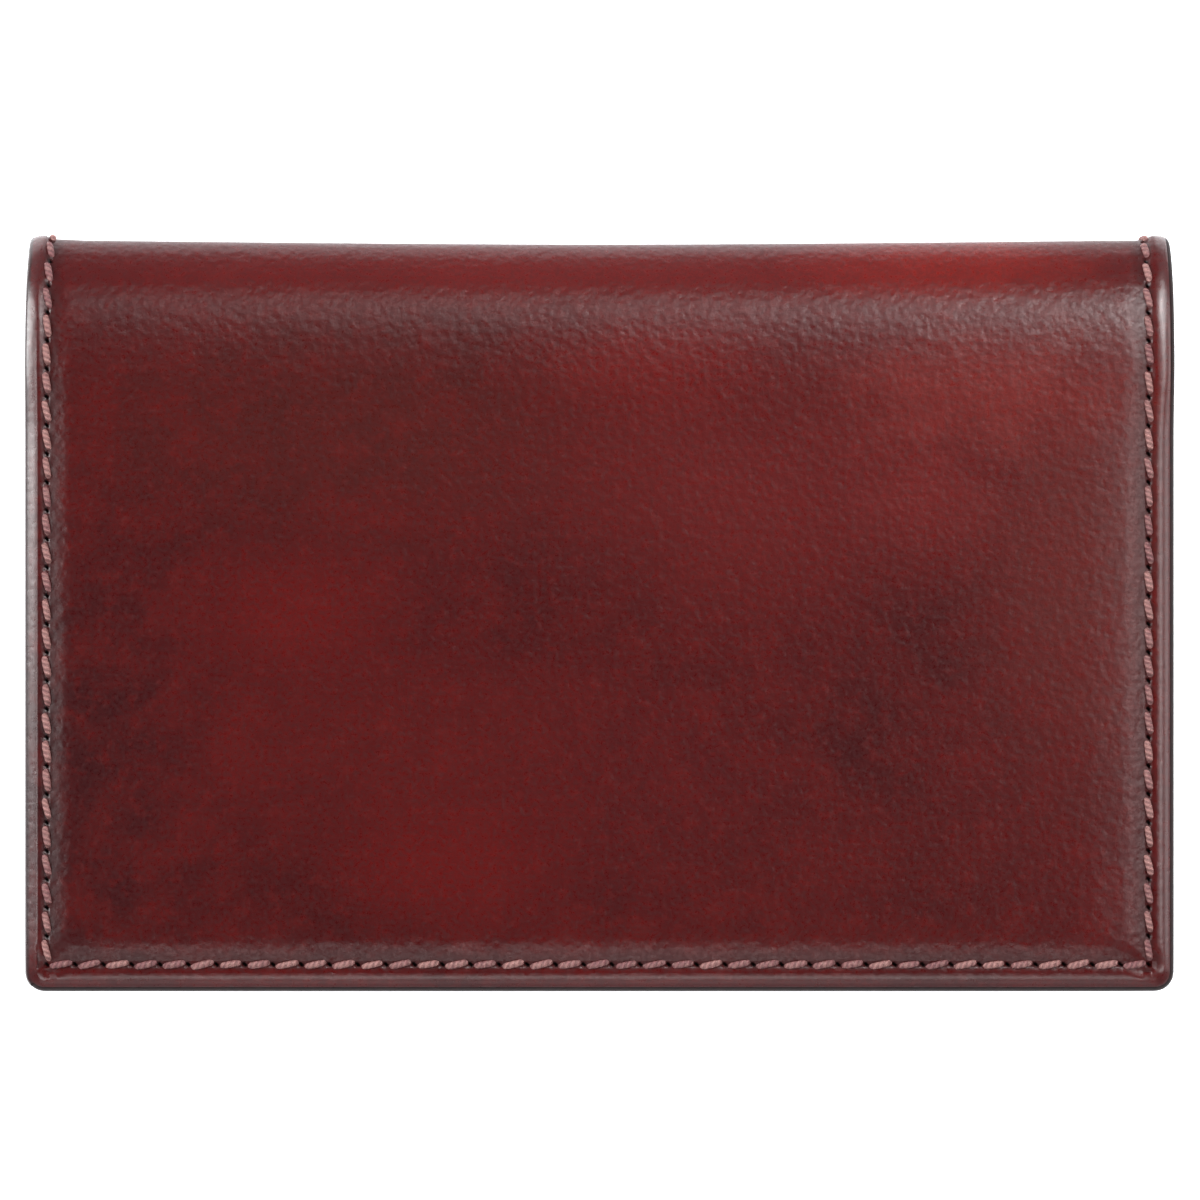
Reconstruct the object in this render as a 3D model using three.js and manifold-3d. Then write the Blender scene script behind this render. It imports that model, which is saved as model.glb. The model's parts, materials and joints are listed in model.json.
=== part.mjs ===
// Folding business card case in stitched leather, lying closed on its back cover.
// X runs along the fold, Y from the open edge to the fold, Z up from the resting face. Millimetres.

import * as THREE from 'three';
import { mergeVertices } from 'three/addons/utils/BufferGeometryUtils.js';
import Module from 'manifold-3d';

const wasm = await Module();
wasm.setup();

// Overall sizes, closed
const caseWidth = 108; // along the fold
const caseDepth = 70.8; // from the open edge to the outside of the fold
const cornerRadius = 2.2; // at the four free corners

// Leather and board, from the outside in
const coverThickness = 1.2;
const boardThickness = 0.4;
const liningThickness = 0.5;
const glueLine = 0.1; // clearance between sheets that are glued or sewn face to face

// Card pocket on the back half
const cardWidth = 88.9;
const cardPlay = 1.2; // beside the cards, at each end
const pocketSpace = 4.7; // clear height for the stack of cards
const pocketThickness = 0.8;
const pocketLength = 51.4; // from the open edge to the mouth
const pocketMargin = 1; // the pocket panel stops this far short of the case's ends
const footDepth = 2.8; // turned-in foot that is caught in the seam
const footPlay = 0.2; // between the foot and the panel that swings on it
const notchRadius = 13; // thumb notch in the mouth
const notchDepth = 8;
const notchSegments = 32;

// Folded gussets at the ends of the card pocket
const gussetThickness = 0.6;
const gussetFlange = 3.6;

// Slip pockets on the front half
const slipThickness = 0.7;
const slipBackLength = 49; // from the open edge to the mouth
const slipFrontLength = 36;
const closedGap = 0.3; // air between the card pocket and the slip pockets

// Fold
const foldSlope = 30; // degrees that each half turns before the spine's flat middle
const spineFlat = 4; // height of the flat middle
const foldPlay = 0.1; // between neighbouring strips of the spine

// Perimeter seam, in a shallow groove
const seamInsetSide = 2.2; // seam line to the case's ends
const seamInsetOpen = 2.6; // seam line to the open edge
const grooveWidth = 0.9;
const grooveDepth = 0.45;
const threadWidth = 0.65;
const threadHeight = 0.3;
const threadSunk = 0.05; // thread's top below the leather
const pocketSeamInset = 1.8; // seam line to the pocket panel's ends

// Boards stop inside the seam and short of the fold
const boardInset = 4.6;
const boardFoldGap = 8;

const leather = new THREE.MeshStandardMaterial({ color: '#5e2420', roughness: 0.38, metalness: 0 });
const innerLeather = new THREE.MeshStandardMaterial({ color: '#6a2b25', roughness: 0.5, metalness: 0 });
const liningLeather = new THREE.MeshStandardMaterial({ color: '#4c1f1b', roughness: 0.55, metalness: 0 });
const board = new THREE.MeshStandardMaterial({ color: '#8d8377', roughness: 0.9, metalness: 0 });
const thread = new THREE.MeshStandardMaterial({ color: '#9c6e60', roughness: 0.7, metalness: 0 });

// Heights of the stack, worked out from the sheets
const boardDepth = coverThickness + glueLine;
const liningDepth = boardDepth + boardThickness + glueLine;
const insideDepth = liningDepth + liningThickness;
const pocketUnder = insideDepth + pocketSpace;
const pocketTop = pocketUnder + pocketThickness;
const slipBackDepth = insideDepth + glueLine;
const slipFrontDepth = slipBackDepth + slipThickness + glueLine;
const caseHeight = pocketTop + closedGap + slipFrontDepth + slipThickness;

const openEdge = -caseDepth / 2;
const caseEnd = caseWidth / 2;
const mouth = openEdge + pocketLength;

// The case's outside in the Y-Z plane, from the back's open edge round the fold to the front's
const slope = THREE.MathUtils.degToRad(foldSlope);
const stripRise = (caseHeight - spineFlat) / 2;
const stripRun = stripRise / Math.tan(slope);
const foldStart = caseDepth / 2 - stripRun;
const corners = [
  [openEdge, 0],
  [foldStart, 0],
  [caseDepth / 2, stripRise],
  [caseDepth / 2, stripRise + spineFlat],
  [foldStart, caseHeight],
  [openEdge, caseHeight],
].map(([y, z]) => new THREE.Vector2(y, z));
const segments = { back: 0, lower: 1, middle: 2, upper: 3, front: 4 };

function along(index) {
  return corners[index + 1].clone().sub(corners[index]).normalize();
}

// How far a sheet draws back from a corner of the outside, so that it meets its neighbour on a mitre.
function mitre(index, depth) {
  if (index === 0 || index === corners.length - 1) return 0;
  const before = along(index - 1);
  const turn = before.angleTo(along(index));
  return depth * Math.tan(turn / 2) + foldPlay / 2;
}

// Outline of one segment's sheet between two depths under the outside. A cutter overruns its ends.
function band(index, from, to, overrun = 0) {
  const direction = along(index);
  const inward = new THREE.Vector2(-direction.y, direction.x);
  const at = (corner, side, depth) => corners[corner].clone()
    .addScaledVector(direction, side * (mitre(corner, depth) - overrun))
    .addScaledVector(inward, depth);
  return [at(index, 1, from), at(index + 1, -1, from), at(index + 1, -1, to), at(index, 1, to)];
}

function toSolid(geometry) {
  const bare = geometry.clone();
  bare.deleteAttribute('normal');
  bare.deleteAttribute('uv');
  const merged = mergeVertices(bare);
  const vertProperties = new Float32Array(merged.attributes.position.array);
  const triVerts = new Uint32Array(merged.index.array);
  return new wasm.Manifold(new wasm.Mesh({ numProp: 3, vertProperties, triVerts }));
}

// A prism whose outline is given in the plane across its axis: (y, z), (z, x) or (x, y).
function prism(axis, outline, from, to) {
  const shape = outline instanceof THREE.Shape ? outline : new THREE.Shape(outline);
  const geometry = new THREE.ExtrudeGeometry(shape, { depth: to - from, bevelEnabled: false, curveSegments: 5 });
  geometry.translate(0, 0, from);
  const x = new THREE.Vector3(1, 0, 0);
  const y = new THREE.Vector3(0, 1, 0);
  const z = new THREE.Vector3(0, 0, 1);
  const bases = { x: [y, z, x], y: [z, x, y], z: [x, y, z] };
  geometry.applyMatrix4(new THREE.Matrix4().makeBasis(...bases[axis]));
  return toSolid(geometry);
}

function rectangle(x0, x1, y0, y1) {
  return [[x0, y0], [x1, y0], [x1, y1], [x0, y1]].map(([x, y]) => new THREE.Vector2(x, y));
}

// The case's free outline seen from above: rounded at the open edge, running on past the fold.
function freeOutline() {
  const end = caseDepth;
  const shape = new THREE.Shape();
  shape.moveTo(caseEnd, end);
  shape.lineTo(-caseEnd, end);
  shape.lineTo(-caseEnd, openEdge + cornerRadius);
  shape.absarc(-caseEnd + cornerRadius, openEdge + cornerRadius, cornerRadius, Math.PI, Math.PI * 1.5);
  shape.lineTo(caseEnd - cornerRadius, openEdge);
  shape.absarc(caseEnd - cornerRadius, openEdge + cornerRadius, cornerRadius, Math.PI * 1.5, Math.PI * 2);
  return prism('z', shape, -1, caseHeight + 1);
}
const outline = freeOutline();

// A sheet that fills the case's outline from the open edge to the fold.
function fullSheet(index, from, to) {
  return prism('x', band(index, from, to), -caseEnd, caseEnd).intersect(outline);
}

// A flat sheet of a half between two depths, from y0 to y1, ending short of the case's ends by a margin.
function flatSheet(index, from, to, y0, y1, margin) {
  const z0 = index === segments.back ? from : caseHeight - to;
  const z1 = index === segments.back ? to : caseHeight - from;
  return prism('z', rectangle(margin - caseEnd, caseEnd - margin, y0, y1), z0, z1).intersect(outline);
}

// The perimeter seam's path on a half, as a band of a given width: down one end, along the open edge and back.
function seamBand(width, y1) {
  const half = width / 2;
  const x = caseEnd - seamInsetSide;
  const y = openEdge + seamInsetOpen;
  return [
    [-x - half, y1], [-x - half, y - half], [x + half, y - half], [x + half, y1],
    [x - half, y1], [x - half, y + half], [-x + half, y + half], [-x + half, y1],
  ].map(([u, v]) => new THREE.Vector2(u, v));
}

function halfSeam(index, width, from, to, y1) {
  const back = index === segments.back;
  return prism('z', seamBand(width, y1), back ? from : caseHeight - to, back ? to : caseHeight - from);
}

function halfCover(index) {
  const groove = halfSeam(index, grooveWidth, -1, grooveDepth, caseDepth);
  return fullSheet(index, 0, coverThickness).subtract(groove);
}

function halfThread(index) {
  const end = foldStart - foldPlay;
  return halfSeam(index, threadWidth, threadSunk, threadSunk + threadHeight, end);
}

function halfBoard(index) {
  const depth = boardDepth + boardThickness;
  return flatSheet(index, boardDepth, depth, openEdge + boardInset, foldStart - boardFoldGap, boardInset);
}

function slipPocket(depth, length) {
  return flatSheet(segments.front, depth, depth + slipThickness, openEdge, openEdge + length, 0);
}

function spineThread(index, side) {
  const x = side * (caseEnd - seamInsetSide);
  const strip = band(index, threadSunk, threadSunk + threadHeight);
  return prism('x', strip, x - threadWidth / 2, x + threadWidth / 2);
}

function spineLeather(index) {
  let strip = prism('x', band(index, 0, coverThickness), -caseEnd, caseEnd);
  for (const side of [-1, 1]) {
    const x = side * (caseEnd - seamInsetSide);
    const cutter = band(index, -grooveDepth, grooveDepth, coverThickness);
    strip = strip.subtract(prism('x', cutter, x - grooveWidth / 2, x + grooveWidth / 2));
  }
  return strip;
}

function spineLining(index) {
  const from = coverThickness + glueLine;
  return prism('x', band(index, from, from + liningThickness), -caseEnd, caseEnd);
}

// The card pocket's leather: a foot in the seam, and a panel that rises behind it and runs to the mouth.
const footZ = insideDepth + glueLine;
const footEnd = openEdge + footDepth;
const riserStart = footEnd + footPlay;

function pocketFoot() {
  return flatSheet(segments.back, footZ, footZ + pocketThickness, openEdge, footEnd, 0);
}

function pocketSeam(side, width, z0, z1) {
  const x = side * (caseEnd - pocketMargin - pocketSeamInset);
  const y0 = riserStart + pocketThickness;
  return prism('z', rectangle(x - width / 2, x + width / 2, y0, mouth - pocketSeamInset), z0, z1);
}

function pocketPanel() {
  const end = caseEnd - pocketMargin;
  const profile = [
    [riserStart, footZ], [riserStart + pocketThickness, footZ], [riserStart + pocketThickness, pocketUnder],
    [mouth, pocketUnder], [mouth, pocketTop], [riserStart, pocketTop],
  ].map(([y, z]) => new THREE.Vector2(y, z));
  const cutter = new THREE.CylinderGeometry(notchRadius, notchRadius, caseHeight * 2, notchSegments);
  cutter.rotateX(Math.PI / 2);
  cutter.translate(0, mouth - notchDepth + notchRadius, 0);
  let panel = prism('x', profile, -end, end).subtract(toSolid(cutter));
  for (const side of [-1, 1]) {
    panel = panel.subtract(pocketSeam(side, grooveWidth, pocketTop - grooveDepth, pocketTop + 1));
  }
  return panel;
}

function pocketThread(side) {
  return pocketSeam(side, threadWidth, pocketTop - threadSunk - threadHeight, pocketTop - threadSunk);
}

// A gusset's section: a flange in the seam, a fold towards the cards, and a flange under the pocket panel.
function gusset(side) {
  const low = insideDepth + glueLine;
  const high = pocketUnder - glueLine;
  const middle = (low + high) / 2;
  const t = gussetThickness;
  const tip = cardWidth / 2 + cardPlay;
  const root = caseEnd - gussetFlange;
  const lean = Math.atan2(middle - low, root - tip);
  const foldWidth = t / Math.sin(lean);
  const shift = t * Math.tan(lean / 2);
  const topEnd = caseEnd - pocketMargin;
  const section = [
    [caseEnd, low], [root, low], [tip, middle], [root, high], [topEnd, high],
    [topEnd, high - t], [root + shift, high - t], [tip + foldWidth, middle], [root + shift, low + t],
    [caseEnd, low + t],
  ].map(([x, z]) => new THREE.Vector2(z, side * x));
  return prism('y', section, riserStart + pocketThickness + footPlay, mouth - pocketMargin);
}

function toMesh(name, solid, material) {
  const { vertProperties, triVerts } = solid.getMesh();
  const geometry = new THREE.BufferGeometry();
  geometry.setAttribute('position', new THREE.BufferAttribute(new Float32Array(vertProperties), 3));
  geometry.setIndex(new THREE.BufferAttribute(new Uint32Array(triVerts), 1));
  geometry.computeVertexNormals();
  const mesh = new THREE.Mesh(geometry, material);
  mesh.name = name;
  return mesh;
}


const backHalf = new THREE.Group();
backHalf.add(
  toMesh('back_cover', halfCover(segments.back), leather),
  toMesh('back_board', halfBoard(segments.back), board),
  toMesh('back_lining', fullSheet(segments.back, liningDepth, insideDepth), liningLeather),
  toMesh('back_seam_thread', halfThread(segments.back), thread),
  toMesh('card_pocket_foot', pocketFoot(), innerLeather),
  toMesh('left_gusset', gusset(-1), innerLeather),
  toMesh('right_gusset', gusset(1), innerLeather),
);

const cardPocket = new THREE.Group();
cardPocket.add(
  toMesh('card_pocket_panel', pocketPanel(), innerLeather),
  toMesh('left_pocket_thread', pocketThread(-1), thread),
  toMesh('right_pocket_thread', pocketThread(1), thread),
);

const frontHalf = new THREE.Group();
frontHalf.add(
  toMesh('front_cover', halfCover(segments.front), leather),
  toMesh('front_board', halfBoard(segments.front), board),
  toMesh('front_lining', fullSheet(segments.front, liningDepth, insideDepth), liningLeather),
  toMesh('front_seam_thread', halfThread(segments.front), thread),
  toMesh('slip_pocket_back', slipPocket(slipBackDepth, slipBackLength), innerLeather),
  toMesh('slip_pocket_front', slipPocket(slipFrontDepth, slipFrontLength), innerLeather),
);

const spine = new THREE.Group();
for (const place of ['lower', 'middle', 'upper']) {
  const index = segments[place];
  spine.add(
    toMesh(`spine_leather_${place}`, spineLeather(index), leather),
    toMesh(`spine_lining_${place}`, spineLining(index), liningLeather),
    toMesh(`spine_thread_left_${place}`, spineThread(index, -1), thread),
    toMesh(`spine_thread_right_${place}`, spineThread(index, 1), thread),
  );
}

const group = new THREE.Group();
group.add(backHalf, cardPocket, spine, frontHalf);

export default group;
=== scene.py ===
"""A folding business card case in hand-stained leather, lying closed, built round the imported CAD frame."""

import json
import math

import bpy
import numpy as np
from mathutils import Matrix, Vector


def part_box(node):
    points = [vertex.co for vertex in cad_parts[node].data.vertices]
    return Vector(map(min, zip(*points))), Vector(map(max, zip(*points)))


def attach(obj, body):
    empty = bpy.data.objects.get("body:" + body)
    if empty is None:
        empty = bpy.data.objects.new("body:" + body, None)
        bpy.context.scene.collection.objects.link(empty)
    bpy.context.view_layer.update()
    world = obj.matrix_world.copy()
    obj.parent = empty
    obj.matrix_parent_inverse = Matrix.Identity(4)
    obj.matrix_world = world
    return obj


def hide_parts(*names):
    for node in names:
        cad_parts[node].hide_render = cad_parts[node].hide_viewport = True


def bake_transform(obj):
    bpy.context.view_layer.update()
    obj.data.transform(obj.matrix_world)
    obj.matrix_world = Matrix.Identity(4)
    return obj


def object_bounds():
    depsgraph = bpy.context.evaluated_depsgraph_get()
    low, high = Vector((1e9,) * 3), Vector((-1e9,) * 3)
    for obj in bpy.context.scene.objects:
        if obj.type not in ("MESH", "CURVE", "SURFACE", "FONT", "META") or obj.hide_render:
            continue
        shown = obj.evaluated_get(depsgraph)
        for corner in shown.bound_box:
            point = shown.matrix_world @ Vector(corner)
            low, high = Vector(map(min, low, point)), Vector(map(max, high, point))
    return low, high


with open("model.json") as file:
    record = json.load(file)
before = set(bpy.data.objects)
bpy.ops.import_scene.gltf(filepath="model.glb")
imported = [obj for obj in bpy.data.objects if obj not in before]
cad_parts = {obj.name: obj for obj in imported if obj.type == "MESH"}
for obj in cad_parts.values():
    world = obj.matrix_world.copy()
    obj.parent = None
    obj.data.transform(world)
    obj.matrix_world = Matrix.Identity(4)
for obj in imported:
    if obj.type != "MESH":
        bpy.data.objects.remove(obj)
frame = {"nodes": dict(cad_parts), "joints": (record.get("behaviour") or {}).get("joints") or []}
cad_box = [list(corner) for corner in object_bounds()]

# ---- Camera ----
# The case lies on its back cover and is seen square-on from straight above, with the fold at the top.
MM = 0.001
low, high = (np.array(corner) for corner in cad_box)
camera_height = 480 * MM
framed_width = 112.45 * MM  # how much it takes in at the height of the front cover
camera_y = 1.4 * MM  # a little nearer the fold than the case's middle

camera = bpy.data.cameras.new("camera")
camera.sensor_width = 36
camera.lens = camera.sensor_width * camera_height / framed_width
camera.clip_end = 10
camera_object = bpy.data.objects.new("camera", camera)
bpy.context.scene.collection.objects.link(camera_object)
camera_object.location = (0, camera_y, high[2] + camera_height)
bpy.context.scene.camera = camera_object

# ---- The fold ----
# The leather turns from the back, round the fold, to the front. Its outside bends about the four hinge lines
# of the frame, as one soft curve. A place on a sheet is given as it was cut: x across, s along the cut from
# the back's open edge to the front's, and its depth under the outside of the closed case.
case_end = high[0]
open_edge = low[1]
top = high[2]
hinges = {joint["name"]: np.array(joint["pos_m"])[1:] for joint in frame["joints"]}
fold_names = ("back_fold", "lower_spine_bend", "upper_spine_bend", "front_fold")
bends = [hinges[name] for name in fold_names]
soft_run = 8 * MM  # how far before the hinge line each half starts to curve
sewn_rise = 0.8 * MM  # the seams push the fold's ends out
spine_dip, dip_reach = 0.62 * MM, 5 * MM  # beside a seam it sinks fast
long_dip = 0.45 * MM  # and then slowly to the middle
bend_steps = 200


def curved(points, reach):
    """A path through points, with its corners rounded: its lengths, its places and its directions."""
    points = [np.array(point, float) for point in points]
    path = [points[:1]]
    for before, bend, after in zip(points, points[1:], points[2:]):
        start, end = (
            bend + (other - bend) * min(reach / np.linalg.norm(other - bend), 0.5)
            for other in (before, after)
        )
        t = np.linspace(0, 1, bend_steps, endpoint=False)[:, None]
        path.append((1 - t) ** 2 * start + 2 * t * (1 - t) * bend + t**2 * end)
    path = np.concatenate(path + [[end], points[-1:]])
    lengths = np.concatenate([[0], np.cumsum(np.linalg.norm(np.diff(path, axis=0), axis=1))])
    turns = np.unwrap(np.arctan2(*np.gradient(path, lengths, axis=0).T[::-1]))
    return lengths, path, turns


def on_path(path, s, offset):
    """Places beside a path, offset to the left of its direction."""
    lengths, places, turns = path
    turn = np.interp(s, lengths, turns)
    a, b = (np.interp(s, lengths, places[:, k]) for k in (0, 1))
    return a - offset * np.sin(turn), b + offset * np.cos(turn)


def smooth(t):
    """0 below 0, 1 above 1 and an even rise between."""
    t = np.clip(t, 0, 1)
    return t * t * (3 - 2 * t)


outside = curved([(open_edge, 0), *bends, (open_edge, top)], soft_run)
cut_length = outside[0][-1]
# The places along the cut where each bend of the curve starts or ends.
splits = [float(outside[0][1 + i * bend_steps]) for i in range(5)]
fold_start = bends[0][0] - soft_run


def on_case(x, s, depth):
    """Places in the closed case for places of the flat cut."""
    y, z = on_path(outside, s, depth)
    rise = sewn_rise - spine_dip * smooth((case_end - np.abs(x)) / dip_reach)
    rise = rise - long_dip * (1 - np.clip(np.abs(x) / case_end, 0, 1) ** 1.5)
    y = y + rise * np.clip((y - fold_start) / (high[1] - fold_start), 0, 1) ** 2
    return np.stack([x, y, z], axis=1)


# ---- Cover ----
# One piece of full-grain calf, skived thinner at its edges, then folded and sewn. Its free corners are cut
# round, its edge is rounded and painted, and the seam lies in a shallow groove. It is drawn as four pieces,
# which meet on lines that run across the fold.
corner_radius = 1.8 * MM
seam_left, seam_right, seam_open = 2.1 * MM, 2.5 * MM, 2.6 * MM
stitch_pitch = 2.67 * MM
cover_thickness, skived_thickness = 1.2 * MM, 1.0 * MM
edge_round_left, edge_round = 0.22 * MM, 0.6 * MM  # the left edge is sanded less round than the others
lip_width, lip_fall = 1.3 * MM, 0.38 * MM  # the leather outside the seam bends down to the edge
painted_ring = 0.34 * MM  # how far the paint laps over a rounded edge
skive_start, skive_width = 2 * MM, 2 * MM
groove_depth = 0.2 * MM
groove_out, groove_in = 0.85 * MM, 2.3 * MM  # its reach towards the edge and away from it
hole_depth, hole_half = 0.6 * MM, 0.36 * MM
fold_line_gap, flat_line_gap, strip_line_gap = 0.45 * MM, 2.2 * MM, 0.06 * MM
edge_rings = [ring * MM for ring in (0, 0.03, 0.1, 0.2, 0.32, 0.45, 0.65, 0.9, 1.15)]
groove_rings = [ring * MM for ring in (-0.85, -0.7, -0.5, -0.33, 0, 0.33, 0.65, 1.0, 1.45, 1.9, 2.3)]

side_count = round((cut_length - 2 * seam_open) / stitch_pitch)
end_count = round((2 * case_end - seam_left - seam_right) / stitch_pitch)
side_holes = np.linspace(seam_open, cut_length - seam_open, side_count + 1)
end_holes = np.linspace(seam_left - case_end, case_end - seam_right, end_count + 1)


def lines(keys, first, last, widest):
    """The keys from first to last in order, with lines added so that no gap is wider than widest(place)."""
    keys = sorted({first, last, *(key for key in keys if first < key < last)})
    keys = [keys[0]] + [b for a, b in zip(keys, keys[1:]) if b - a > 0.01 * MM or b == last]
    made = []
    for a, b in zip(keys, keys[1:]):
        count = max(1, math.ceil((b - a) / widest((a + b) / 2)))
        made += [a + (b - a) * i / count for i in range(count)]
    return made + [last]


def fold_gap(s):
    """How far apart the lines across the cut may be at a place."""
    return fold_line_gap if splits[0] < s < splits[4] else flat_line_gap


def around(places, *offsets):
    """Each of the places, moved by each of the offsets."""
    return [place + offset for place in places for offset in offsets]


cover_columns = lines(
    around([-case_end], *edge_rings, *around([seam_left], *groove_rings))
    + [case_end - ring for ring in edge_rings + around([seam_right], *groove_rings)]
    + around(end_holes, -hole_half, 0, hole_half),
    -case_end,
    case_end,
    lambda x: 2.5 * MM,
)
open_rings = edge_rings + around([seam_open], *groove_rings)
cover_keys = (
    open_rings
    + [cut_length - ring for ring in open_rings]
    + around(side_holes, -hole_half, 0, hole_half)
    + around(splits[1:4], -strip_line_gap, strip_line_gap)
)


def from_cover_edge(x, s):
    """How far a place of the cover's cut is from its nearest free edge."""
    return np.minimum(case_end - np.abs(x), np.minimum(s, cut_length - s))


def rounded(x, s):
    """Draws the square corners of the cut in to their radius. Returns the new places and the rings."""
    from_side, from_open = case_end - np.abs(x), np.minimum(s, cut_length - s)
    ring = np.minimum(from_side, from_open)
    far = np.maximum(from_side, from_open)
    at_corner = far < corner_radius
    arm = np.maximum(corner_radius - ring, 1e-9)
    angle = np.where(at_corner, (corner_radius - far) / arm, 0) * math.pi / 4
    near, off = corner_radius - arm * np.cos(angle), corner_radius - arm * np.sin(angle)
    side_first = from_side <= from_open
    new_side = np.where(side_first, near, off)
    new_open = np.where(side_first, off, near)
    x = np.where(at_corner, np.sign(x) * (case_end - new_side), x)
    s = np.where(at_corner, np.where(s < cut_length / 2, new_open, cut_length - new_open), s)
    return x, s, ring


# How far the outside sinks, in mm. At an end: on the back, on the front, and how far in. At an open edge: how
# far it sinks, and how far in.
left_sink, right_sink = (0.4, 0.45, 4.5), (0.4, 1.1, 9)
back_sink, front_sink = (0.4, 5.5), (0.9, 6.5)
fold_sink_share = 0.25  # of the ends' sink, over the fold
fold_ease = 8 * MM


def droop(x, s):
    """How far the outside sinks towards its sewn edges, more on the front's right end than elsewhere."""
    front = smooth((s - splits[2]) / (splits[4] - splits[2]) * 1.5 - 0.25)
    folded = smooth((s - splits[0]) / fold_ease + 0.5) * smooth((splits[4] - s) / fold_ease + 0.5)
    sink = np.zeros_like(x)
    for gap, (back, fore, reach) in ((case_end + x, left_sink), (case_end - x, right_sink)):
        amount = (back + (fore - back) * front) * (1 - (1 - fold_sink_share) * folded) * MM
        sink += (amount * np.clip(1 - gap / (reach * MM), 0, 1) ** 2) ** 2
    for gap, (amount, reach) in ((s, back_sink), (cut_length - s, front_sink)):
        sink += (amount * MM * np.clip(1 - gap / (reach * MM), 0, 1) ** 2) ** 2
    return np.sqrt(sink)


def rolled(ring, radius):
    """How far a rounded edge falls at a ring."""
    reach = np.clip(radius - ring, 0, radius)
    return radius - np.sqrt(np.maximum(radius**2 - reach**2, 0))


def on_left(x, s):
    """Whether the nearest edge is the case's left end."""
    return case_end + x < np.minimum(s, cut_length - s)


def seam_share(x, s):
    """1 along the middle of the seam's groove, 0 beside it."""
    side = case_end - np.abs(x) - np.where(x < 0, seam_left, seam_right)
    open_end = np.minimum(s, cut_length - s) - seam_open
    shares = [np.where(gap < 0, -gap / groove_out, gap / groove_in) for gap in (side, open_end)]
    past_corner = (open_end < -groove_out, side < -groove_out)
    return 1 - smooth(np.minimum(*(np.where(past, 1, share) for past, share in zip(past_corner, shares))))


def on_holes(across, along, seam_line, holes):
    """Which places are on the seam line, at one of its holes."""
    near = 0.05 * MM
    return (np.abs(across - seam_line) < near) & (np.abs(along[:, None] - holes[None]).min(axis=1) < near)


def hole_share(x, s):
    """1 on a needle hole, 0 elsewhere."""
    hit = on_holes(x, s, seam_left - case_end, side_holes) | on_holes(x, s, case_end - seam_right, side_holes)
    hit |= on_holes(np.minimum(s, cut_length - s), x, seam_open, end_holes)
    return hit.astype(float)


def points_of(piece):
    """The places of a piece's points, one row each."""
    flat = np.empty(len(piece.data.vertices) * 3)
    piece.data.vertices.foreach_get("co", flat)
    return flat.reshape(-1, 3)


def keep(piece, name, values):
    """Stores a number for each point, which the materials read."""
    kind = "FLOAT_VECTOR" if values.ndim == 2 else "FLOAT"
    attribute = piece.data.attributes.new(name, kind, "POINT")
    attribute.data.foreach_set("vector" if values.ndim == 2 else "value", values.astype(np.float32).ravel())


def leather(name, columns, rows, shape, place, to_edge, corners_round=False, paint_laps=False):
    """A sheet cut flat as a grid, given its thickness by an extrusion, and then formed.

    shape(x, s, ring) gives the depths of the good side and of the other, and the seam's and the holes' share.
    place(x, s, depth) takes the cut to where it lies in the case. The faces are for three materials, in the
    order good side, flesh side and painted edge.
    """
    bpy.ops.object.select_all(action="DESELECT")
    bpy.ops.mesh.primitive_grid_add(x_subdivisions=len(columns) - 1, y_subdivisions=len(rows) - 1, size=2)
    piece = bpy.context.object
    piece.name = piece.data.name = name
    bpy.ops.object.mode_set(mode="EDIT")
    bpy.ops.mesh.select_all(action="SELECT")
    bpy.ops.mesh.extrude_region_move(TRANSFORM_OT_translate={"value": (0, 0, -1)})
    bpy.ops.object.mode_set(mode="OBJECT")

    points = points_of(piece)
    good = points[:, 2] > -0.5
    x = np.interp(points[:, 0], np.linspace(-1, 1, len(columns)), columns)
    s = np.interp(points[:, 1], np.linspace(-1, 1, len(rows)), rows)
    ring = to_edge(x, s)
    if corners_round:
        x, s, ring = rounded(x, s)
    good_depth, other_depth, seam, hole = shape(x, s, ring)
    depth = np.where(good, good_depth, other_depth)
    piece.data.vertices.foreach_set("co", place(x, s, depth).ravel())
    keep(piece, "cut", np.stack([x, s, depth], axis=1) / MM)
    keep(piece, "edge", np.where(good, ring, 0) / MM)
    keep(piece, "seam", np.where(good, seam, 0))
    keep(piece, "hole", np.where(good, hole, 0))

    painted = paint_laps & good & (ring < painted_ring) & ~on_left(x, s)
    good_slot, flesh_slot, edge_slot = range(3)
    slots = []
    for face in piece.data.polygons:
        corners = list(face.vertices)
        on_edge = painted[corners].any() or 0 < good[corners].mean() < 1
        slots.append(edge_slot if on_edge else good_slot if good[corners].all() else flesh_slot)
    piece.data.polygons.foreach_set("material_index", slots)

    bpy.ops.object.mode_set(mode="EDIT")
    bpy.ops.mesh.select_all(action="SELECT")
    bpy.ops.mesh.normals_make_consistent(inside=False)
    bpy.ops.object.mode_set(mode="OBJECT")
    bpy.ops.object.shade_smooth_by_angle(angle=math.radians(50))
    return piece


def cover_shape(x, s, ring):
    seam, hole, sink = seam_share(x, s), hole_share(x, s), droop(x, s)
    lip = lip_fall * np.clip(1 - ring / lip_width, 0, 1) ** 1.4
    rounding = np.where(on_left(x, s), edge_round_left, edge_round)
    good = sink + lip + rolled(ring, rounding) + groove_depth * seam + hole_depth * hole
    full = cover_thickness * smooth((ring - skive_start) / skive_width)
    return good, np.maximum(sink + skived_thickness, full), seam, hole


def linear(colour):
    """A colour written as sRGB hex, as linear light."""
    channels = (int(colour[i : i + 2], 16) / 255 for i in (1, 3, 5))
    return [c / 12.92 if c <= 0.04045 else ((c + 0.055) / 1.055) ** 2.4 for c in channels] + [1]


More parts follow.
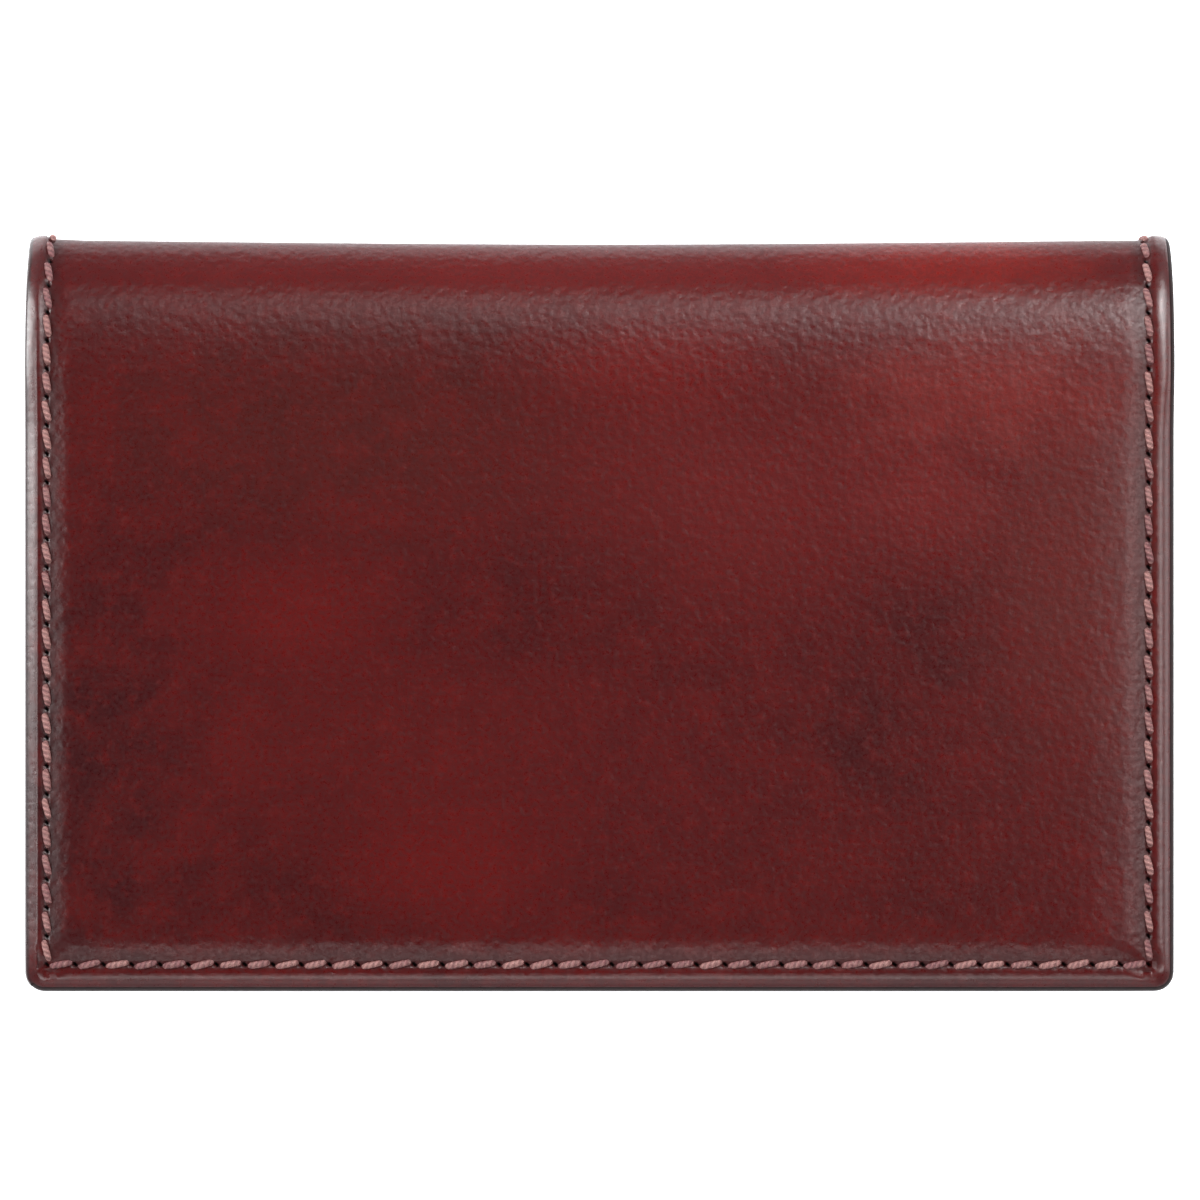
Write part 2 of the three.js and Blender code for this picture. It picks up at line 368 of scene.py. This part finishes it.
def add(owner, kind, inputs=(), **settings):
    """Adds a node to a material or the world. Its inputs are sockets to link, numbers, or colours as hex."""
    node = owner.node_tree.nodes.new("ShaderNode" + kind)
    for key, value in settings.items():
        setattr(node, key, value)
    for key, value in dict(inputs).items():
        if isinstance(value, bpy.types.NodeSocket):
            owner.node_tree.links.new(value, node.inputs[key])
        else:
            node.inputs[key].default_value = linear(value) if isinstance(value, str) else value
    return node


def new_material(name):
    material = bpy.data.materials.new(name)
    material.use_nodes = True
    material.node_tree.nodes.clear()
    return material


def layered(material, colour, layers):
    """Covers a colour with others in turn.

    A layer is a reading, where on it the layer's share starts and ends, the share at those two ends, and the
    layer's colour.
    """
    for reading, start, end, first_share, last_share, cover in layers:
        inputs = {0: reading, 1: start, 2: end, 3: first_share, 4: last_share}
        share = add(material, "MapRange", inputs, interpolation_type="SMOOTHSTEP").outputs[0]
        colour = add(material, "Mix", {0: share, 6: colour, 7: cover}, data_type="RGBA").outputs[2]
    return colour


# Full-grain calf, dyed by hand with a sponge and waxed: the dye lies in soft clouds from oxblood to a
# brighter red, the grain is fine pores and faint wrinkles, and the wax gives a broad, soft shine. Outside the
# seam it is burnished, which is glossier. Patterns are in millimetres of the cut.
def stained_calf(name, dark, middle, bright, patches, gloss):
    """patches are the sponge's marks: x, s, width, length, colour and strength, laid on in their order."""
    material = new_material(name)
    cut = add(material, "Attribute", attribute_name="cut").outputs["Vector"]
    seam, edge, hole = (
        add(material, "Attribute", attribute_name=part).outputs["Fac"] for part in ("seam", "edge", "hole")
    )
    noises = []
    for wide, detail, rough in ((19, 3.5, 0.55), (4.5, 4, 0.6), (1.3, 2, 0.6), (0.42, 3, 0.65)):
        inputs = {"Vector": cut, "Scale": 1 / wide, "Detail": detail, "Roughness": rough}
        noises.append(add(material, "TexNoise", inputs).outputs[0])
    clouds, mottle, flecks, pores = noises

    layers = [(clouds, 0.24, 0.62, 0.0, 1.0, middle)]
    for x, s, wide, long, stain, strength in patches:
        inputs = {"Vector": cut, "Location": (-x / wide, -s / long, 0), "Scale": (1 / wide, 1 / long, 0)}
        placed = add(material, "Mapping", inputs).outputs[0]
        reach = add(material, "VectorMath", {0: placed}, operation="LENGTH").outputs["Value"]
        reach = add(material, "Math", {0: reach, 1: mottle}, operation="ADD").outputs[0]
        layers.append((reach, 0.55, 1.6, strength, 0.0, stain))
    layers += [
        (mottle, 0.35, 0.7, 0.0, 0.28, bright),
        (pores, 0.36, 0.64, 0.0, 0.45, dark),
        (flecks, 0.5, 0.7, 0.0, 0.2, bright),
        # Painted shade: darker along the seam's groove and, on the pockets, along the creases.
        (seam, 0.1, 1.0, 0.0, 0.5, "#2a0c0c"),
        (edge, 0.3, 0.55, 0.7, 0.0, "#1c0b0b"),
        # Painted shade: the needle holes are coloured near black.
        (hole, 0.2, 0.6, 0.0, 1.0, "#0c0303"),
    ]
    colour = layered(material, dark, layers)

    wrinkles = {"Vector": cut, "Scale": 1 / 0.7}
    height = add(material, "TexVoronoi", wrinkles, feature="SMOOTH_F1").outputs["Distance"]
    for grain, share in ((pores, 0.45), (flecks, 0.8), (mottle, 0.5)):
        height = add(material, "Math", {0: grain, 1: share, 2: height}, operation="MULTIPLY_ADD").outputs[0]
    bump = add(material, "Bump", {"Strength": 0.9, "Distance": 0.05 * MM, "Height": height}).outputs[0]
    inputs = {0: pores, 1: 0.3, 2: 0.7, 3: gloss - 0.05, 4: gloss + 0.08}
    rough = add(material, "MapRange", inputs, interpolation_type="SMOOTHSTEP").outputs[0]
    inputs = {0: edge, 1: 1.2, 2: 1.7, 3: 1.0, 4: 0.0}
    burnish = add(material, "MapRange", inputs, interpolation_type="SMOOTHSTEP").outputs[0]
    inputs = {"Base Color": colour, "Normal": bump, "Roughness": rough, "IOR": 1.42}
    inputs.update({"Coat Weight": burnish, "Coat Roughness": 0.24})
    shader = add(material, "BsdfPrincipled", inputs)
    add(material, "OutputMaterial", {"Surface": shader.outputs[0]})
    return material


# The flesh side of skived calf: a short matt nap, paler than the dye, seen only at the sheets' backs.
flesh_side = new_material("calf_flesh_side")
cut = add(flesh_side, "Attribute", attribute_name="cut").outputs["Vector"]
nap = add(flesh_side, "TexNoise", {"Vector": cut, "Scale": 1 / 0.3, "Detail": 4, "Roughness": 0.7}).outputs[0]
colour = layered(flesh_side, "#5a3a30", [(nap, 0.3, 0.7, 0.0, 1.0, "#7a5446")])
bump = add(flesh_side, "Bump", {"Distance": 0.06 * MM, "Height": nap}).outputs[0]
shader = add(flesh_side, "BsdfPrincipled", {"Base Color": colour, "Normal": bump, "Roughness": 0.9})
add(flesh_side, "OutputMaterial", {"Surface": shader.outputs[0]})

# Edge paint: thin dark coats, sanded and waxed, with a dull shine and faint waves along the edge.
edge_paint = new_material("edge_paint")
cut = add(edge_paint, "Attribute", attribute_name="cut").outputs["Vector"]
coats = add(edge_paint, "TexNoise", {"Vector": cut, "Scale": 1 / 0.8, "Detail": 3}).outputs[0]
colour = layered(edge_paint, "#1a0809", [(coats, 0.3, 0.7, 0.0, 1.0, "#260d0c")])
bump = add(edge_paint, "Bump", {"Strength": 0.4, "Distance": 0.05 * MM, "Height": coats}).outputs[0]
inputs = {"Base Color": colour, "Normal": bump, "Roughness": 0.5, "Specular IOR Level": 0.12}
shader = add(edge_paint, "BsdfPrincipled", inputs)
add(edge_paint, "OutputMaterial", {"Surface": shader.outputs[0]})

front_s = (cut_length + open_edge) / MM  # the middle of the front, along the cut
dye_patches = [
    (-22, front_s - 18, 34, 15, "#481713", 0.6),
    (-29, front_s, 12, 8, "#5e0d0c", 0.75),
    (-15, front_s + 23, 15, 8, "#5e0b0a", 0.75),
    (-20, front_s + 12, 26, 10, "#560f0e", 0.6),
    (12, front_s - 12, 26, 14, "#661a19", 0.6),
    (33, front_s - 34, 20, 6, "#821a10", 0.8),
    (0, front_s - 33, 60, 5, "#6e1c1a", 0.6),
    (46, front_s - 6, 14, 30, "#642824", 0.5),
    (-50, front_s + 14, 15, 30, "#2f090c", 0.85),
    (36, front_s - 21, 20, 8, "#7a2824", 0.7),
    (31, front_s - 12, 9, 9, "#762220", 0.5),
    (6, front_s - 24, 14, 7, "#6e1412", 0.6),
    (6, front_s + 16, 14, 12, "#4a0c0e", 0.6),
    (26, front_s + 27, 22, 12, "#4d0c0c", 0.5),
]
cover_calf = stained_calf("hand_stained_calf", "#370709", "#4b0b0c", "#6a1411", dye_patches, 0.31)


def finish(piece, *materials):
    """Gives a piece its materials, in the order of its slots."""
    for material in materials:
        piece.data.materials.append(material)


# Each piece of the cover: its cut, the CAD nodes it stands for, and the two bodies on either side of it.
lower_nodes = ["spine_leather_lower", "spine_leather_middle"]
cover_cuts = (
    ("cover_back", 0.0, splits[1], ["back_cover"], "back_half", "spine_lower"),
    ("cover_spine_lower", splits[1], splits[2], lower_nodes, "spine_lower", "spine_middle"),
    ("cover_spine_upper", splits[2], splits[3], ["spine_leather_upper"], "spine_middle", "spine_upper"),
    ("cover_front", splits[3], cut_length, ["front_cover"], "spine_upper", "front_half"),
)


def bend_between(piece, first, second, s_first, s_second):
    """Bakes a piece's place into its points. The two bodies, s_first and s_second are not used."""
    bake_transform(piece)


# Where each of the four bends begins and ends along the cut.
bend_margin = 0.3 * MM
bend_spans = {
    "back_half": (splits[0] + bend_margin, splits[1] - bend_margin),
    "spine_lower": (splits[1] + bend_margin, splits[2] - bend_margin),
    "spine_middle": (splits[2] + bend_margin, splits[3] - bend_margin),
    "spine_upper": (splits[3] + bend_margin, splits[4] - bend_margin),
}
for name, first_s, last_s, nodes, first, second in cover_cuts:
    rows = lines(cover_keys, first_s, last_s, fold_gap)
    piece = leather(name, cover_columns, rows, cover_shape, on_case, from_cover_edge, True, True)
    finish(piece, cover_calf, flesh_side, edge_paint)
    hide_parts(*nodes)
    bend_between(piece, first, second, *bend_spans[first])

# ---- Lining ----
# Thinner goat over the boards and right across the fold, pasted at the edges to the cover and painted with
# it. It follows the cover's four pieces, as it bends on the same lines.
lining_thickness = 0.45 * MM
lining_inset, lining_round = 0.12 * MM, 0.2 * MM
lining_end = case_end - lining_inset
glue = 0.03 * MM
board_depth = 1.8 * MM  # under the board
board_inset, board_ease, board_fold_ease = 3 * MM, 1.6 * MM, 3 * MM


def lining_shape(x, s, ring):
    over_board = smooth((ring - board_inset) / board_ease)
    over_board *= 1 - smooth((s - splits[0]) / board_fold_ease) * smooth((splits[4] - s) / board_fold_ease)
    outer = np.maximum(droop(x, s) + skived_thickness, cover_thickness * (ring > board_inset)) + glue
    outer = outer + (board_depth - outer) * over_board
    inner = outer + lining_thickness - rolled(ring, lining_round)
    return inner, outer, np.zeros_like(x), np.zeros_like(x)


def from_lining_edge(x, s):
    return from_cover_edge(x, s) - lining_inset


# Goat dyed through and left unwaxed: a flat, dull red-brown beside the cover's shine.
goat = stained_calf("red_goat_lining", "#401917", "#4c1e1b", "#5a2622", [], 0.5)
lining_rings = [ring * MM for ring in (0, 0.08, 0.2, 2.9, 3.4, 3.9, 4.4)]
lining_columns = lines(
    around([-lining_end], *lining_rings) + [lining_end - ring for ring in lining_rings],
    -lining_end,
    lining_end,
    lambda x: 3 * MM,
)
lining_keys = [ring * MM for ring in (0.2, 0.32, 3.0, 3.5, 4, 4.5)]
lining_keys += [cut_length - ring for ring in lining_keys]
for name, first_s, last_s, nodes, first, second in cover_cuts:
    first_s, last_s = max(first_s, lining_inset), min(last_s, cut_length - lining_inset)
    rows = lines(lining_keys, first_s, last_s, fold_gap)
    name = name.replace("cover", "lining")
    piece = leather(name, lining_columns, rows, lining_shape, on_case, from_lining_edge, corners_round=True)
    finish(piece, goat, flesh_side, edge_paint)
    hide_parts(*(node.replace("leather", "lining").replace("cover", "lining") for node in nodes))
    bend_between(piece, first, second, *bend_spans[first])

# ---- Slip pockets ----
# Two flat calf pockets on the inside of the front half, one in front of the other. Their three outer edges
# are caught in the perimeter seam, and a hot crease runs along each mouth. The calf is dyed through and waxed
# less than the cover, so it is a more even and duller red.
pocket_calf = stained_calf("pocket_calf", "#4a1d1b", "#5a2421", "#6c2d29", [], 0.45)
slip_thickness = 0.65 * MM
slip_inset, slip_round, flesh_round = 0.15 * MM, 0.25 * MM, 0.15 * MM
# The last of these is how much darker the crease is painted, as shade in its hollow.
crease_inset, crease_half, crease_depth, crease_painted_shade = 1.4 * MM, 0.35 * MM, 0.1 * MM, 0.6
edge_keys = [ring * MM for ring in (0, 0.05, 0.13, 0.25, 1.0, 1.2, 1.4, 1.6, 1.8)]
slip_end, slip_foot = case_end - slip_inset, cut_length - slip_inset
long_slip, short_slip = 49 * MM, 36 * MM
free_ease = 4 * MM
# Each pocket's length, and its depth where the seam pinches it and where it lies free.
slips = (
    ("slip_pocket_back", long_slip, 1.5 * MM, 2.4 * MM),
    ("slip_pocket_front", short_slip, 2.18 * MM, 3.2 * MM),
)


def crease_share(ring):
    return 1 - smooth(np.abs(ring - crease_inset) / crease_half)


def in_corners(x, s, depth):
    """Places in the case of a sheet whose corners follow the cover's round ones."""
    x, s, _ = rounded(x, s)
    return on_case(x, s, depth)


for name, length, pinched, free in slips:
    mouth_s = cut_length - length

    def slip_shape(x, s, ring):
        inset = np.minimum(slip_end - np.abs(x), cut_length - s)
        outer = droop(x, s) + pinched
        outer = outer + (free - outer) * smooth((inset - seam_open) / free_ease)
        crease = crease_share(s - mouth_s)
        inner = outer + slip_thickness - rolled(ring, slip_round) - crease_depth * crease
        return inner, outer + rolled(ring, flesh_round), crease_painted_shade * crease, np.zeros_like(x)

    def from_slip_edge(x, s):
        return np.minimum(np.minimum(slip_end - np.abs(x), s - mouth_s), slip_foot - s)

    columns = around([-slip_end], *edge_keys) + [slip_end - key for key in edge_keys]
    columns = lines(columns, -slip_end, slip_end, lambda x: 3 * MM)
    rows = around([mouth_s], *edge_keys) + [slip_foot - key for key in edge_keys]
    rows = lines(rows, mouth_s, slip_foot, lambda s: 2.4 * MM)
    piece = leather(name, columns, rows, slip_shape, in_corners, from_slip_edge)
    finish(piece, pocket_calf, flesh_side, edge_paint)
    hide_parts(name)
    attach(piece, "front_half")

# ---- Card pocket ----
# One strip of calf: a foot sewn in with the open edge, a turned-up wall as high as the cards, and the panel
# that runs back over them to a mouth with a round notch for the thumb. The wall's foot is where it hinges.
panel_low, panel_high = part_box("card_pocket_panel")
pocket_thickness = 0.75 * MM
pocket_end, mouth_y, pocket_top = panel_high
pocket_seam, pocket_round = 1.8 * MM, 0.3 * MM
foot_inset, foot_length, foot_top = 0.15 * MM, 4 * MM, 2.3 * MM
wall_y, wall_bend = panel_low[1] + 0.35 * MM, 1.4 * MM
notch_radius, notch_centre, notch_ease = 13 * MM, 5 * MM, 0.7 * MM
notch_reach = 18 * MM
pocket_points = [(open_edge + foot_inset, foot_top), (wall_y, foot_top), (wall_y, pocket_top)]
pocket_path = curved([*pocket_points, (mouth_y, pocket_top)], wall_bend)
pocket_cut = pocket_path[0][-1]


def on_pocket(x, s, depth):
    """Places of the pocket for places of its cut, with the thumb notch drawn out of its mouth."""
    circle = np.sqrt(np.maximum(notch_radius**2 - x**2, 0)) - notch_centre
    notch = (circle + np.sqrt(circle**2 + notch_ease**2)) / 2
    s = s - notch * np.clip((s - pocket_cut + notch_reach) / notch_reach, 0, 1)
    a, b = on_path(pocket_path, s, -depth)
    x = np.where(s < foot_length, rounded(x, np.maximum(a - open_edge, 0))[0], x)
    return np.stack([x, a, b], axis=1)


def pocket_shape(x, s, ring):
    groove = 1 - smooth(np.abs(pocket_end - np.abs(x) - pocket_seam) / groove_out)
    groove = groove * smooth((s - 6 * MM) / MM)  # it starts above the wall
    crease = crease_share(pocket_cut - s)
    good = rolled(ring, pocket_round) + groove_depth * groove + crease_depth * crease
    flesh = pocket_thickness - rolled(ring, flesh_round)
    return good, flesh, np.maximum(groove, crease_painted_shade * crease), np.zeros_like(x)


def from_pocket_edge(x, s):
    return np.minimum(np.minimum(pocket_end - np.abs(x), s), pocket_cut - s)


def pocket_gap(x):
    """How far apart the lines along the panel may be at a place, closer at the notch's corners."""
    return 0.45 * MM if 9.5 * MM < abs(x) < 13.5 * MM else 1.5 * MM


pocket_rings = edge_keys + around([pocket_seam], *groove_rings)
pocket_columns = around([-pocket_end], *pocket_rings) + [pocket_end - ring for ring in pocket_rings]
pocket_columns = lines(pocket_columns, -pocket_end, pocket_end, pocket_gap)
pocket_rows = edge_keys + [pocket_cut - key for key in edge_keys]
pocket_rows = lines(pocket_rows, 0, pocket_cut, lambda s: 0.35 * MM if s < 9 * MM else 2 * MM)
piece = leather("card_pocket", pocket_columns, pocket_rows, pocket_shape, on_pocket, from_pocket_edge)
finish(piece, pocket_calf, flesh_side, edge_paint)
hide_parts("card_pocket_foot", "card_pocket_panel")
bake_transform(piece)

# ---- Gussets ----
# At each end of the pocket a strip of thin calf is folded inwards like a bellows. One leg is sewn in with the
# perimeter and the other under the pocket's end, so the pocket opens as far as the fold flattens.
gusset_thickness = 0.55 * MM
gusset_low, gusset_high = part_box("left_gusset")
fold_tip = abs(gusset_high[0])
gusset_root = fold_tip + 4.9 * MM
gusset_floor, gusset_top = 2.1 * MM, pocket_top - 1.15 * MM
gusset_points = [
    (case_end - 0.2 * MM, 1.95 * MM),
    (gusset_root, gusset_floor),
    (fold_tip, (gusset_floor + gusset_top) / 2),
    (gusset_root, gusset_top),
    (pocket_end - 0.1 * MM, gusset_top),
]
gusset_path = curved(gusset_points, 1.2 * MM)
gusset_cut = gusset_path[0][-1]
gusset_first, gusset_last = gusset_low[1], gusset_high[1]
gusset_columns = lines([], gusset_first, gusset_last, lambda y: 2 * MM)
gusset_rows = lines([], 0, gusset_cut, lambda s: 0.35 * MM)


def gusset_shape(y, s, ring):
    none = np.zeros_like(y)
    return none - gusset_thickness / 2, none + gusset_thickness / 2, none, none


def from_gusset_edge(y, s):
    return np.minimum(np.minimum(y - gusset_first, gusset_last - y), np.minimum(s, gusset_cut - s))


for side, name in ((-1, "left_gusset"), (1, "right_gusset")):

    def on_gusset(y, s, depth):
        x, z = on_path(gusset_path, s, depth)
        return np.stack([side * x, y, z], axis=1)

    piece = leather(name + "_fold", gusset_columns, gusset_rows, gusset_shape, on_gusset, from_gusset_edge)
    finish(piece, pocket_calf, flesh_side, edge_paint)
    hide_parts(name)
    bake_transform(piece)

# ---- Seams ----
# Saddle stitch in waxed linen, laid with an awl: each stitch spans two holes, leans a little from the line,
# and dives into the holes at its ends. The perimeter shows one row outside and one inside, and the pocket's
# ends have their own.
waxed_linen = new_material("waxed_linen_thread")
strand = add(waxed_linen, "Attribute", attribute_name="strand").outputs["Vector"]
along, around_it, shade = add(waxed_linen, "SeparateXYZ", {0: strand}).outputs
# The thread's two strands wind round it, one turn in 0.55 mm, under a bloom of wax, with painted shade
# between them.
turns = add(waxed_linen, "Math", {0: along, 1: 1 / 0.55}, operation="MULTIPLY").outputs[0]
turns = add(waxed_linen, "Math", {0: around_it, 1: turns}, operation="ADD").outputs[0]
turns = add(waxed_linen, "Math", {0: turns, 1: 2 * math.pi}, operation="MULTIPLY").outputs[0]
plies_and_shade = add(waxed_linen, "Math", {0: turns}, operation="SINE").outputs[0]
fibre = add(waxed_linen, "TexNoise", {"Vector": strand, "Scale": 5, "Detail": 3}).outputs[0]
layers = [
    (shade, 0.0, 1.0, 0.0, 1.0, "#a67672"),
    # painted shade in the hollow between the two strands
    (plies_and_shade, -1.0, 0.2, 0.5, 0.0, "#48262a"),
    (fibre, 0.4, 0.7, 0.0, 0.35, "#b08a80"),
]
colour = layered(waxed_linen, "#845456", layers)
height = add(waxed_linen, "Math", {0: plies_and_shade, 1: fibre}, operation="ADD").outputs[0]
bump = add(waxed_linen, "Bump", {"Strength": 0.7, "Distance": 0.08 * MM, "Height": height}).outputs[0]
shader = add(waxed_linen, "BsdfPrincipled", {"Base Color": colour, "Normal": bump, "Roughness": 0.6})
add(waxed_linen, "OutputMaterial", {"Surface": shader.outputs[0]})

thread_radius, thread_flat = 0.34 * MM, 0.8
stitch_reach = 1.09 * MM  # half a stitch
stitch_lean, stitch_stray = -0.2, 0.03 * MM
stitch_rise, stitch_dive = 0.12 * MM, 0.4 * MM  # its middle stands up and its ends go down into the holes
rng = np.random.default_rng(11)


def stitches(name, holes, lie, place):
    """Stitches between pairs of holes, each pair a row of x0, s0, x1, s1 in the cut.

    lie(x, s) is the depth they lie at and its sign, + if the thread is on the deeper side.
    """
    bpy.ops.object.select_all(action="DESELECT")
    bpy.ops.mesh.primitive_uv_sphere_add(segments=8, ring_count=7, radius=1)
    piece = bpy.context.object
    piece.name = piece.data.name = name
    pattern = points_of(piece)
    bpy.ops.object.modifier_add(type="ARRAY")
    piece.modifiers[-1].count = len(holes)
    bpy.ops.object.modifier_apply(modifier=piece.modifiers[-1].name)

    count, size = len(holes), len(pattern)
    chance = rng.uniform(-1, 1, (count, 5))
    first, last = holes[:, :2], holes[:, 2:]
    run = (last - first) / np.linalg.norm(last - first, axis=1)[:, None]
    across = np.stack([-run[:, 1], run[:, 0]], axis=1)
    lean = stitch_lean + 0.06 * chance[:, 0]
    middle = (first + last) / 2 + across * (stitch_stray * chance[:, 1])[:, None]
    reach = stitch_reach * (1 + 0.04 * chance[:, 2])
    radius = thread_radius * (1 + 0.07 * chance[:, 3])

    # A ball drawn out to a stitch: blunt at its ends, even along its middle.
    v, w, u = pattern.T
    belly = np.sqrt(np.maximum(1 - u**2, 1e-9))
    swell = np.where(np.abs(u) > 0.999, 0, belly ** (0.55 - 1))
    along = (np.sign(u) * np.abs(u) ** 0.75)[None] * reach[:, None]
    wide = (v * swell)[None] * radius[:, None] + along * lean[:, None]
    bow = stitch_rise - stitch_dive * np.abs(u) ** 4
    up = (w * swell)[None] * radius[:, None] * thread_flat + bow[None]
    flat = middle[:, None] + along[..., None] * run[:, None] + wide[..., None] * across[:, None]
    flat = flat.reshape(-1, 2)
    depth, sign = lie(flat[:, 0], flat[:, 1])
    piece.data.vertices.foreach_set("co", place(flat[:, 0], flat[:, 1], depth + sign * up.ravel()).ravel())
    winding = np.broadcast_to(np.arctan2(v, w) / (2 * math.pi), (count, size))
    shades = np.broadcast_to((0.5 + 0.5 * chance[:, 4])[:, None], (count, size))
    keep(piece, "strand", np.stack([along / MM + 7 * chance[:, 4:], winding, shades], axis=2).reshape(-1, 3))
    bpy.ops.object.mode_set(mode="EDIT")
    bpy.ops.mesh.select_all(action="SELECT")
    bpy.ops.mesh.normals_make_consistent(inside=False)
    bpy.ops.object.mode_set(mode="OBJECT")
    bpy.ops.object.shade_smooth()
    finish(piece, waxed_linen)
    return piece


def seam_pairs():
    """Neighbouring holes of the perimeter: both open edges and both sides over the fold."""
    pairs = []
    for s in (seam_open, cut_length - seam_open):
        pairs += [(a, s, b, s) for a, b in zip(end_holes, end_holes[1:])]
    for x in (seam_left - case_end, case_end - seam_right):
        pairs += [(x, a, x, b) for a, b in zip(side_holes, side_holes[1:])]
    return np.array(pairs)


pressed_in = 0.18 * MM
# How deep the innermost sheet lies at the seam: the pocket's foot, the gussets, the lining and the slips.
foot_lie, gusset_lie, lining_lie = 2.32 * MM, 2.28 * MM, 1.5 * MM
long_slip_lie, short_slip_lie = 2.15 * MM, 2.83 * MM


def outside_lie(x, s):
    """The bottom of the groove. Under the back cover the case's weight has pressed the stitches in."""
    pressed = pressed_in * smooth((splits[1] - s) / (splits[1] - splits[0]))
    return droop(x, s) + groove_depth + pressed, -1


def inside_lie(x, s):
    """The depth of the innermost sheet at the seam, which steps at the mouths of the pockets."""
    gusset = (s < gusset_last - open_edge) & (s > foot_length)
    depth = np.where(s < foot_length, foot_lie, np.where(gusset, gusset_lie, lining_lie))
    depth = np.where(s > cut_length - long_slip, long_slip_lie, depth)
    depth = np.where(s > cut_length - short_slip, short_slip_lie, depth)
    return droop(x, s) + depth, 1


pairs = seam_pairs()
pair_middle = (pairs[:, 1] + pairs[:, 3]) / 2
thread_nodes = (
    ["back_seam_thread"],
    [f"spine_thread_{side}_{strip}" for strip in ("lower", "middle") for side in ("left", "right")],
    ["spine_thread_left_upper", "spine_thread_right_upper"],
    ["front_seam_thread"],
)
for (cover_name, first_s, last_s, _, first, second), nodes in zip(cover_cuts, thread_nodes):
    chosen = pairs[(pair_middle >= first_s) & (pair_middle < last_s)]
    for where, lie in (("outside", outside_lie), ("inside", inside_lie)):
        piece = stitches(cover_name.replace("cover", "stitches") + "_" + where, chosen, lie, on_case)
        if where == "outside":
            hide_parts(*nodes)
        bend_between(piece, first, second, *bend_spans[first])

seam_foot, seam_mouth = 6.4 * MM, pocket_cut - 1.9 * MM
pocket_holes = np.linspace(seam_foot, seam_mouth, round((seam_mouth - seam_foot) / stitch_pitch) + 1)
for side, word in ((-1, "left"), (1, "right")):
    x = side * (pocket_end - pocket_seam)
    pairs = np.array([(x, a, x, b) for a, b in zip(pocket_holes, pocket_holes[1:])])
    piece = stitches(f"pocket_stitches_{word}", pairs, lambda x, s: (groove_depth + x * 0, -1), on_pocket)
    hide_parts(f"{word}_pocket_thread")
    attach(piece, "card_pocket")

# ---- Boards ----
# Grey fibre board between cover and lining keeps each half flat. The boards are as the frame has them.
# Pressed paper pulp is matt, with soft lighter and darker flecks about a millimetre across.
fibre_board = new_material("grey_fibre_board")
place = add(fibre_board, "TexCoord").outputs["Object"]
pulp = add(fibre_board, "TexNoise", {"Vector": place, "Scale": 900, "Detail": 4}).outputs[0]
colour = layered(fibre_board, "#776f64", [(pulp, 0.35, 0.65, 0.0, 1.0, "#9c9284")])
shader = add(fibre_board, "BsdfPrincipled", {"Base Color": colour, "Roughness": 0.95})
add(fibre_board, "OutputMaterial", {"Surface": shader.outputs[0]})
for name in ("back_board", "front_board"):
    board = frame["nodes"][name]
    board.data.materials.clear()
    finish(board, fibre_board)

# ---- Floor and light ----
# A plain pale table in soft studio light. It is opal acrylic lit from below, so it stays white and the case's
# shadow on it is faint.
bpy.ops.mesh.primitive_plane_add(size=6, location=(0, 0, -0.02 * MM))
floor = bpy.context.object
floor.name = "floor"
acrylic = new_material("backlit_white_acrylic")
inputs = {"Base Color": "#e8ecf0", "Roughness": 0.9, "Specular IOR Level": 0.1}
inputs.update({"Emission Color": "#ffffff", "Emission Strength": 0.85})
shader = add(acrylic, "BsdfPrincipled", inputs)
add(acrylic, "OutputMaterial", {"Surface": shader.outputs[0]})
finish(floor, acrylic)


def soft_box(name, azimuth, tilt, distance, width, height, watts):
    """A soft box that faces the case, tilted from straight above towards an azimuth measured from +X."""
    light = bpy.data.lights.new(name, "AREA")
    light.shape = "RECTANGLE"
    light.size, light.size_y = width, height
    light.energy = watts
    box = bpy.data.objects.new(name, light)
    bpy.context.scene.collection.objects.link(box)
    a, t = math.radians(azimuth), math.radians(tilt)
    out = distance * math.sin(t)
    box.location = (out * math.cos(a), out * math.sin(a), distance * math.cos(t))
    box.rotation_euler = (0, t, a)


soft_box("key_box", 45, 45, 0.5, 0.2, 0.2, 0.73)
soft_box("fold_box", 78, 34, 0.6, 0.12, 0.44, 0.6)
soft_box("fold_right_box", 58, 34, 0.66, 0.12, 0.16, 0.65)
soft_box("right_box", 15, 22, 0.8, 0.16, 0.44, 0.25)
soft_box("right_low_box", 12, 35, 0.8, 0.16, 0.44, 1.24)
soft_box("right_rim_box", 8, 62, 0.8, 0.2, 0.5, 0.9)
soft_box("open_box", -90, 33, 0.8, 0.12, 0.6, 1.0)
soft_box("open_rim_box", -90, 55, 0.8, 0.16, 0.6, 0.26)
soft_box("left_box", 180, 36, 0.8, 0.12, 0.4, 0.8)
soft_box("left_rim_box", 162, 60, 0.8, 0.3, 0.4, 4.6)

# The room: dark above the case, where the camera stands, and bright towards the walls.
world = bpy.data.worlds.new("studio")
bpy.context.scene.world = world
world.use_nodes = True
world.node_tree.nodes.clear()
direction = add(world, "TexCoord").outputs["Generated"]
height = add(world, "SeparateXYZ", {0: direction}).outputs["Z"]
strength = add(world, "MapRange", {0: height, 1: 0.3, 2: 0.75, 3: 0.35, 4: 0.01}).outputs[0]
background = add(world, "Background", {"Color": "#f6f9ff", "Strength": strength})
add(world, "OutputWorld", {"Surface": background.outputs[0]})
bpy.context.scene.view_settings.view_transform = "Standard"
